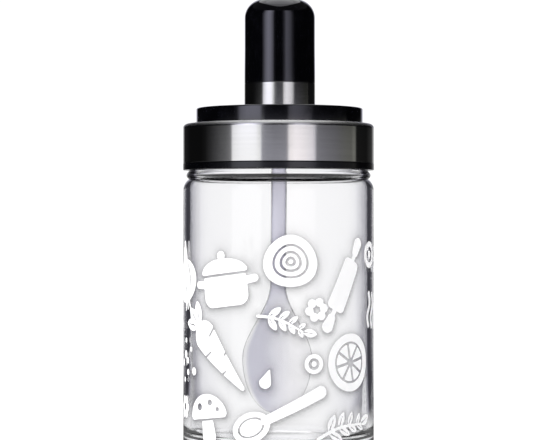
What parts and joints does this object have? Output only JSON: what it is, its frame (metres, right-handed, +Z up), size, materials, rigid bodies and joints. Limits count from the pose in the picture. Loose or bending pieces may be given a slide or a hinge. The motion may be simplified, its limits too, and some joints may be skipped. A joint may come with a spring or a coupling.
{
  "type": "sauce jar with spoon lid",
  "caption": "Empty clear glass sauce and seasoning jar with a steel banded black screw lid, a tall round knob and a spoon hanging inside from the lid.",
  "frame": {"origin": "middle of the round foot, on the surface that the jar stands on", "axes": "+Z up along the jar's axis; the spoon's hollow side faces -Y, the side that the picture shows; +X to the right of that view"},
  "size_m": [0.0662, 0.0662, 0.1583],
  "materials": {
    "clear_glass": "clear pressed soda glass, smooth and bright",
    "black_plastic": "glossy black moulded plastic",
    "polished_steel": "polished stainless sheet with a fine turned grain",
    "smoky_plastic": "translucent lavender grey moulded plastic",
    "white_print": "opaque white screen print on the glass"
  },
  "bodies": {
    "root": {"jar_glass": "clear_glass", "lid_body": "black_plastic", "lid_band": "polished_steel", "lid_disc": "black_plastic", "knob_collar": "polished_steel", "knob": "black_plastic", "spoon": "smoky_plastic"}
  },
  "joints": []
}
